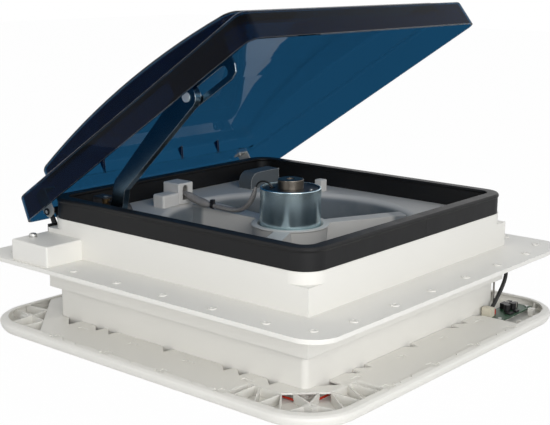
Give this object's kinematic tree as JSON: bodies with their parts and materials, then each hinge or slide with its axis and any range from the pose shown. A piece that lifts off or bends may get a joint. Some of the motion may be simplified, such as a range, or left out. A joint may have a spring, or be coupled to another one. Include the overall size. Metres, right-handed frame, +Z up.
{
  "type": "roof ventilation fan",
  "caption": "Two-way roof vent fan for a caravan: flanged frame, fan on a plate, tinted lid on a crank-driven lift arm, and a telescoping collar with trim ring.",
  "frame": {"origin": "centre of the roof flange's top face", "axes": "+Z up out of the roof, +Y towards the lid's hinge, -Y towards the lid's free edge"},
  "size_m": [0.519, 0.519, 0.389],
  "materials": {
    "white_plastic": "satin white moulding",
    "grey_plastic": "satin light grey moulding",
    "rubber_seal": "soft black",
    "tinted_plastic": "clear, tinted blue",
    "zinc_steel": "zinc plated",
    "motor_steel": "plated and drawn",
    "black_plastic": "satin black",
    "grey_sleeve": "woven grey sleeve",
    "black_jacket": "black jacket",
    "red_jacket": "red jacket",
    "bronze": "sintered",
    "ferrite": "dark ferrite",
    "laminations": "varnished laminations and wire",
    "screen_cloth": "open grey cloth",
    "circuit_board": "dark green board"
  },
  "bodies": {
    "frame": {"bearing_housing": "motor_steel", "black_cable": "black_jacket", "block_screws": "zinc_steel", "board_parts": "black_plastic", "board_screws": "zinc_steel", "brush_gear": "black_plastic", "cable_housing": "white_plastic", "cable_tie": "black_plastic", "collar": "white_plastic", "control_board": "circuit_board", "fan_plate": "grey_plastic", "grey_lead": "grey_sleeve", "hinge_bracket_screws": "zinc_steel", "hinge_brackets": "black_plastic", "hinge_pins": "zinc_steel", "housing_screw": "zinc_steel", "insect_screen": "screen_cloth", "lead_plug": "white_plastic", "lift_bracket": "zinc_steel", "lift_bracket_screws": "zinc_steel", "motor_bushes": "bronze", "motor_can": "motor_steel", "motor_cap": "black_plastic", "motor_cap_screws": "zinc_steel", "motor_lead": "black_jacket", "motor_magnets": "ferrite", "motor_screws": "zinc_steel", "plate_screws": "zinc_steel", "red_lead": "red_jacket", "rim_gasket": "rubber_seal", "rim_post": "grey_plastic", "roof_frame": "white_plastic", "scoop_bracket": "grey_plastic", "screen_frame": "white_plastic", "screen_screws": "zinc_steel", "trim_ring": "white_plastic", "trim_screws": "zinc_steel", "wire_block": "grey_plastic", "wire_loom": "grey_sleeve"},
    "lid_body": {"lid": "tinted_plastic", "slide_rail": "zinc_steel", "rail_screws": "zinc_steel", "hinge_plates": "zinc_steel", "hinge_plate_screws": "zinc_steel"},
    "arm_body": {"lift_arm": "zinc_steel", "arm_pin": "zinc_steel", "lift_shaft": "zinc_steel", "lift_gear": "zinc_steel"},
    "crank_body": {"lift_worm": "bronze", "crank_shaft": "zinc_steel", "lift_knob": "white_plastic"},
    "rotor_body": {"motor_shaft": "zinc_steel", "armature": "laminations", "commutator": "bronze", "impeller": "grey_plastic", "impeller_clip": "zinc_steel"},
    "button_1_body": {"button_1": "white_plastic"},
    "button_2_body": {"button_2": "white_plastic"},
    "button_3_body": {"button_3": "white_plastic"}
  },
  "joints": [
    {"name": "lid_hinge", "type": "hinge", "parent": "frame", "child": "lid_body", "pos_m": [0, 0.212, 0.045], "axis": [-1, 0, 0], "range_deg": [-33.5, 6.5]},
    {"name": "lift_arm_swing", "type": "hinge", "parent": "frame", "child": "arm_body", "pos_m": [-0.155, 0.121, 0.054], "axis": [-1, 0, 0], "range_deg": [-49.7, 9.7]},
    {"name": "crank_turn", "type": "hinge", "parent": "frame", "child": "crank_body", "pos_m": [-0.1465, 0.152, 0.05], "axis": [0, 0, 1], "range_deg": [-1192, 232]},
    {"name": "fan_spin", "type": "hinge", "parent": "frame", "child": "rotor_body", "pos_m": [0, -0.015, 0.03], "axis": [0, 0, 1], "continuous": true},
    {"name": "button_1_press", "type": "slide", "parent": "frame", "child": "button_1_body", "axis": [0, 0, 1], "range_m": [0, 0.001], "stiffness_N_per_m": 400, "springref_m": -0.001},
    {"name": "button_2_press", "type": "slide", "parent": "frame", "child": "button_2_body", "axis": [0, 0, 1], "range_m": [0, 0.001], "stiffness_N_per_m": 400, "springref_m": -0.001},
    {"name": "button_3_press", "type": "slide", "parent": "frame", "child": "button_3_body", "axis": [0, 0, 1], "range_m": [0, 0.001], "stiffness_N_per_m": 400, "springref_m": -0.001}
  ],
  "couplings": [
    {"joint": "lift_arm_swing", "follows": "lid_hinge", "ratio": 1.482},
    {"joint": "crank_turn", "follows": "lid_hinge", "ratio": 35.568}
  ]
}
